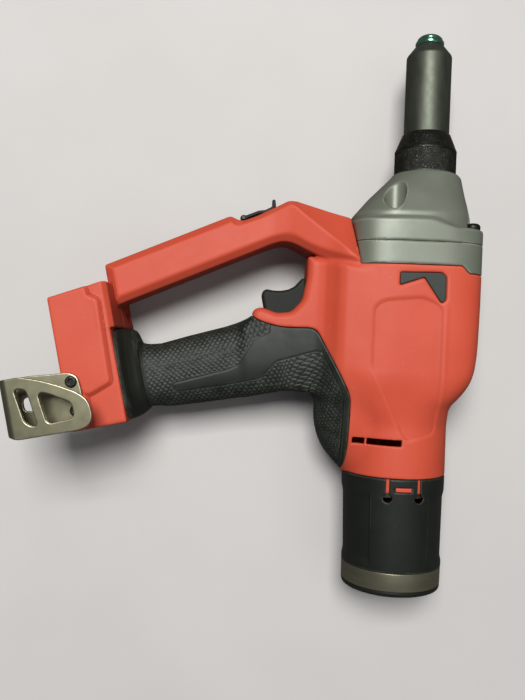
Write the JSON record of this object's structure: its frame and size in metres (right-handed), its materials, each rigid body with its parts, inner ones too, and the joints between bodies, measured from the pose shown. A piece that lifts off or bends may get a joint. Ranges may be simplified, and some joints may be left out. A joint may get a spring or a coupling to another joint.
{
  "type": "battery rivet tool",
  "caption": "Battery blind-rivet tool with a D-shaped handle: motor, gears and a ball screw pull back the jaws behind the nosepiece, and spent mandrels drop into the rear container.",
  "frame": {"origin": "on the spindle axis at the nosepiece's front face", "axes": "+Y forward along the spindle, -X towards the handle and the foot, +Z towards the tool's left side, with the tool lying on its right side"},
  "size_m": [0.2923, 0.366, 0.0999],
  "materials": {
    "red_plastic": "satin moulded plastic",
    "soft_grip": "moulded soft grip",
    "dark_plastic": "satin moulded plastic",
    "trigger_plastic": "satin moulded plastic",
    "black_plastic": "satin moulded plastic",
    "board": "potted board",
    "brass": "turned",
    "case_paint": "die-cast, satin paint",
    "cast_metal": "die-cast",
    "black_steel": "blackened",
    "blued_steel": "blued, satin",
    "green_steel": "hardened, dark",
    "bright_steel": "ground",
    "gear_steel": "hardened",
    "copper": "enamelled wire",
    "band_metal": "anodised, satin",
    "hook_metal": "plated, satin"
  },
  "bodies": {
    "frame": {"left_housing": "red_plastic", "right_housing": "red_plastic", "left_grip": "soft_grip", "right_grip": "soft_grip", "housing_screws": "black_steel", "left_vent": "dark_plastic", "right_vent": "dark_plastic", "trigger_switch": "black_plastic", "control_board": "board", "terminal_block": "black_plastic", "terminal_blades": "brass", "gearcase_front": "case_paint", "gearcase_rear": "case_paint", "gearcase_screws": "black_steel", "nosepiece": "green_steel", "nose_casing": "blued_steel", "nose_collar": "black_steel", "guide_sleeve": "bright_steel", "nut_front_bearing": "bright_steel", "nut_rear_bearing": "bright_steel", "thrust_washer_front": "bright_steel", "thrust_rollers": "bright_steel", "idler_bearings": "bright_steel", "motor_plate": "cast_metal", "motor_stator": "gear_steel", "motor_windings": "copper", "motor_bearings": "bright_steel", "mandrel_tube": "bright_steel", "container_seal": "soft_grip", "belt_hook": "hook_metal", "hook_screws": "black_steel", "hook_inserts": "brass", "clip_pin": "black_steel", "spare_nosepiece": "green_steel"},
    "trigger": {"trigger": "trigger_plastic"},
    "rotor": {"rotor_shaft": "gear_steel", "rotor_core": "gear_steel", "motor_fan": "black_plastic"},
    "idler": {"idler_shaft": "gear_steel", "idler_gear": "gear_steel"},
    "nut": {"ball_nut": "bright_steel", "nut_balls": "bright_steel", "nut_gear": "gear_steel", "thrust_washer_rear": "bright_steel"},
    "pull_head": {"jaw_case": "bright_steel", "jaws": "bright_steel", "jaw_pusher": "bright_steel", "jaw_spring": "bright_steel", "pull_screw": "bright_steel", "guide_pin": "bright_steel", "guide_rollers": "bright_steel"},
    "container": {"container_body": "black_plastic", "container_band": "band_metal", "container_cap": "black_plastic"},
    "clip": {"store_clip": "black_plastic"}
  },
  "joints": [
    {"name": "trigger_slide", "type": "slide", "parent": "frame", "child": "trigger", "axis": [0.2164, -0.9763, 0], "range_m": [0, 0.006], "stiffness_N_per_m": 1000, "springref_m": -0.003},
    {"name": "motor_spin", "type": "hinge", "parent": "frame", "child": "rotor", "pos_m": [-0.042, -0.2, 0], "axis": [0, 1, 0], "range_deg": [0, 18145]},
    {"name": "idler_spin", "type": "hinge", "parent": "frame", "child": "idler", "pos_m": [-0.02779, -0.16, 0.00736], "axis": [0, 1, 0], "range_deg": [-6049, 0]},
    {"name": "nut_spin", "type": "hinge", "parent": "frame", "child": "nut", "pos_m": [0, -0.135, 0], "axis": [0, 1, 0], "range_deg": [0, 1680]},
    {"name": "pull_slide", "type": "slide", "parent": "frame", "child": "pull_head", "axis": [0, -1, 0], "range_m": [0, 0.028]},
    {"name": "container_slide", "type": "slide", "parent": "frame", "child": "container", "axis": [0, -1, 0], "range_m": [0, 0.06]},
    {"name": "clip_hinge", "type": "hinge", "parent": "frame", "child": "clip", "pos_m": [-0.11965, -0.12756, 0], "axis": [0, 0, 1], "range_deg": [0, 80]}
  ],
  "couplings": [
    {"joint": "motor_spin", "follows": "nut_spin", "ratio": 10.8},
    {"joint": "idler_spin", "follows": "nut_spin", "ratio": -3.6},
    {"joint": "pull_slide", "follows": "nut_spin", "m_per_rad": 0.00095493}
  ]
}
